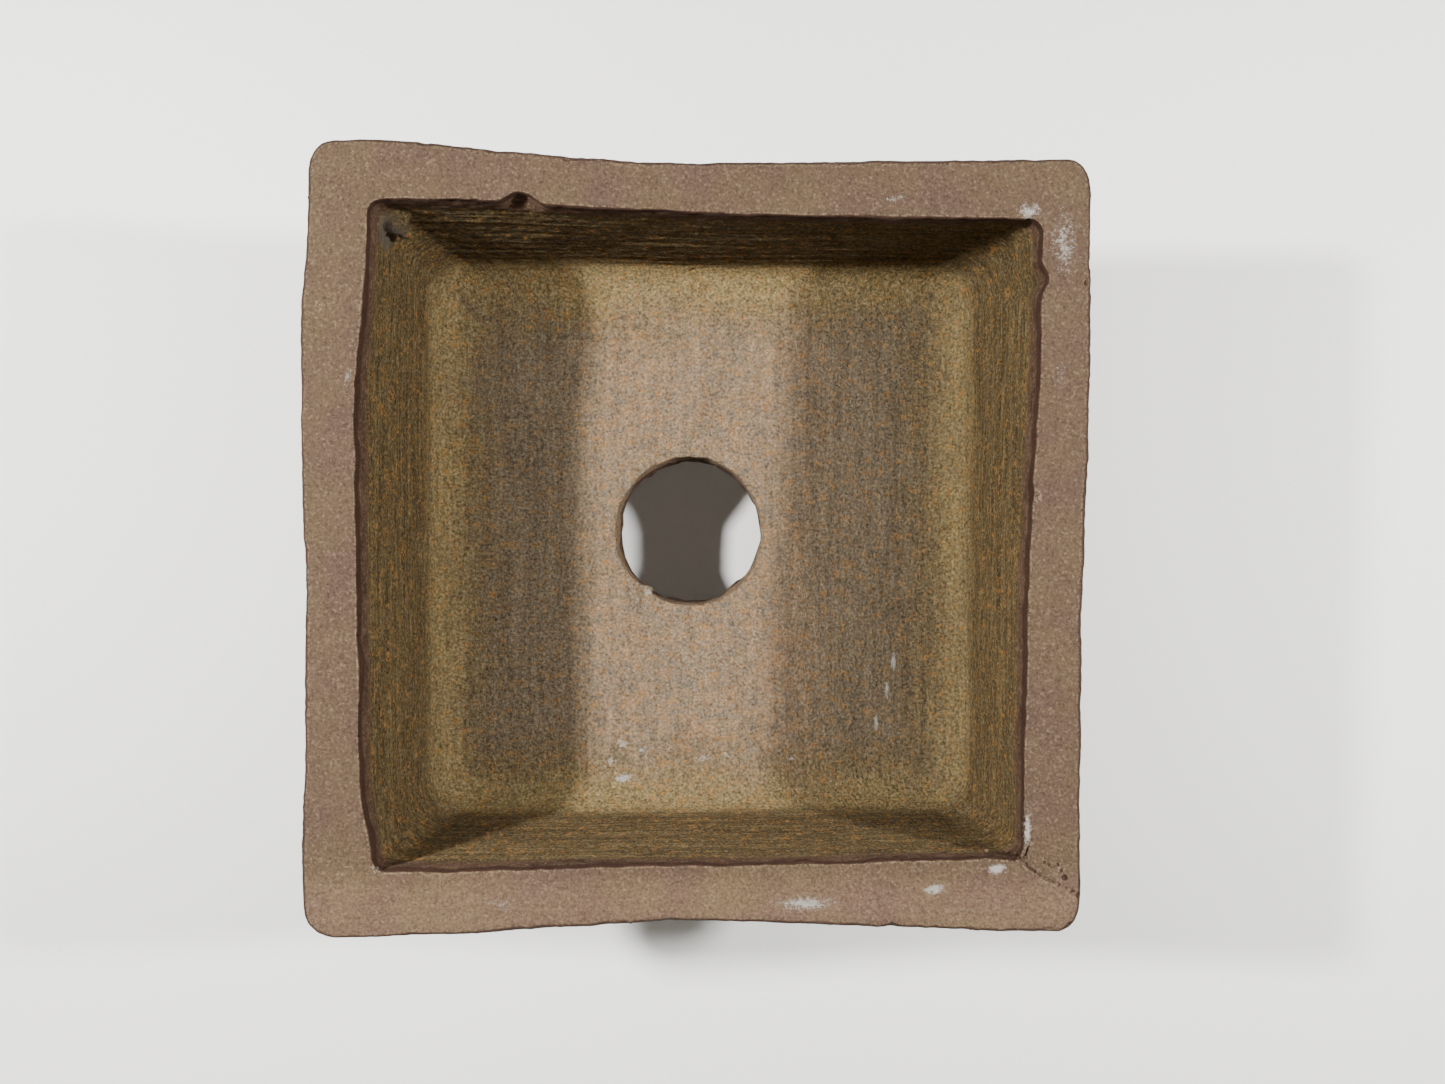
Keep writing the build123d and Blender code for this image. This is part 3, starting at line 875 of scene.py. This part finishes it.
rimLayer = takePart(body, layer(seams["lipBottom"], 60), "rimLayer")
wallLayer = takePart(body, layer(seams["slabTop"], seams["lipBottom"]), "wallLayer")
slabPart = takePart(body, layer(seams["footTop"], seams["slabTop"]), "floorSlab")
footLayer = takePart(body, layer(-5, seams["footTop"]), "footLayer")
bpy.data.objects.remove(body)
print("clay layers cut")

for side, turns in sideTurns.items():
    lip = takePart(rimLayer, mitreWedge(turns, 0, 60), "lipStrip." + side)
    finishPart(lip, ["lip_" + side], clays["stonewareRimSanded"])

corners = {}
for corner, turns in cornerTurns.items():
    corners[corner] = cornerCutter(turns)
    coil = takePart(wallLayer, corners[corner], "cornerCoil." + corner, keepCutter=True)
    finishPart(coil, ["corner_coil_" + corner], clays["stonewareSeamLuted"])

for side, turns in sideTurns.items():
    strip = coilCutter(turns)
    carve(strip, mitreWedge(turns, 0, 60), "INTERSECT")
    for cutter in corners.values():
        carve(strip, cutter, "DIFFERENCE", keep=True)
    coil = takePart(wallLayer, strip, "floorCoil." + side, keepCutter=True)
    finishPart(coil, ["floor_coil_" + side], clays["stonewareSeamLuted"])
    slab = mitreWedge(turns, 0, 60)
    carve(slab, strip, "DIFFERENCE")
    for cutter in corners.values():
        carve(slab, cutter, "DIFFERENCE", keep=True)
    wall = takePart(wallLayer, slab, "wallSlab." + side)
    finishPart(wall, ["wall_" + side], clays["stonewareWallWiped"])

for corner, turns in cornerTurns.items():
    quarter = box("quarter", (0, 0, -5), (60, 60, 20), turn=turns * quarterTurn)
    foot = takePart(footLayer, quarter, "foot." + corner)
    finishPart(foot, ["foot_" + corner], clays["stonewareFootCut"])

thinned(slabPart, 0.42, pot["floorZ"] - 1.2)
finishPart(slabPart, ["floor_slab"], clays["stonewareFloorPressed"])
for cutter in corners.values():
    bpy.data.objects.remove(cutter)
for rest in (rimLayer, wallLayer, footLayer):
    bpy.data.objects.remove(rest)


# The table, the light and the camera

table = {"size": 3.0, "colour": "#F7F6F2"}
bm = bmesh.new()
bmesh.ops.create_grid(bm, x_segments=1, y_segments=1, size=table["size"] / 2)
tableTop = link("tableTop", bm)
paper = bpy.data.materials.new("matPaper")
paper.use_nodes = True
paperShader = paper.node_tree.nodes["Principled BSDF"]
paperShader.inputs["Base Color"].default_value = toLinear(table["colour"])
paperShader.inputs["Roughness"].default_value = 0.95
paperShader.inputs["Specular IOR Level"].default_value = 0.1
tableTop.data.materials.append(paper)

# A pale glowing surround, low around the table, gives the soft light on the outside of the pot
surround = {"radius": 1.4, "height": 0.72, "colour": "#F2F1EC", "glow": 0.8}
bm = bmesh.new()
bmesh.ops.create_cone(bm, cap_ends=False, segments=96, radius1=surround["radius"], radius2=surround["radius"],
                      depth=surround["height"])
bmesh.ops.translate(bm, vec=(0, 0, surround["height"] / 2), verts=bm.verts)
bmesh.ops.reverse_faces(bm, faces=bm.faces)
softSurround = link("softSurround", bm)
glow = bpy.data.materials.new("matLitFabric")
glow.use_nodes = True
glowShader = glow.node_tree.nodes["Principled BSDF"]
glowShader.inputs["Base Color"].default_value = toLinear(surround["colour"])
glowShader.inputs["Emission Color"].default_value = toLinear(surround["colour"])
glowShader.inputs["Emission Strength"].default_value = surround["glow"]
softSurround.data.materials.append(glow)

# Two small lamps close to the pot: name, x, y, height above the rim, size across, all in mm, and watts
lamps = (
    ("keyLeft", -153, 32, 150, 20, 1.31),
    ("keyRight", 181, 24, 150, 20, 1.14),
)
for name, x, y, z, size, watts in lamps:
    lamp = bpy.data.lights.new(name, "AREA")
    lamp.shape, lamp.size, lamp.energy = "DISK", size * mm, watts
    holder = bpy.data.objects.new(name, lamp)
    holder.location = Vector((x, y, pot["rimZ"] + z)) * mm
    aim = Vector((0, 0, pot["floorZ"] * mm)) - holder.location
    holder.rotation_euler = aim.to_track_quat("-Z", "Y").to_euler()
    scene.collection.objects.link(holder)

sky = {"colour": "#F2F1EC", "strength": 0.06}
world = bpy.data.worlds.new("studioSky")
scene.world = world
world.use_nodes = True
world.node_tree.nodes["Background"].inputs["Color"].default_value = toLinear(sky["colour"])
world.node_tree.nodes["Background"].inputs["Strength"].default_value = sky["strength"]

view = {"x": 2.86, "y": -0.1, "aboveRim": 107.2, "lens": 27.06, "sensor": 36.0}
camera = bpy.data.cameras.new("overheadCamera")
camera.lens, camera.sensor_width = view["lens"], view["sensor"]
camera.clip_start, camera.clip_end = 0.005, 20
cameraHolder = bpy.data.objects.new("overheadCamera", camera)
cameraHolder.location = (view["x"] * mm, view["y"] * mm, (pot["rimZ"] + view["aboveRim"]) * mm)
scene.collection.objects.link(cameraHolder)
scene.camera = cameraHolder
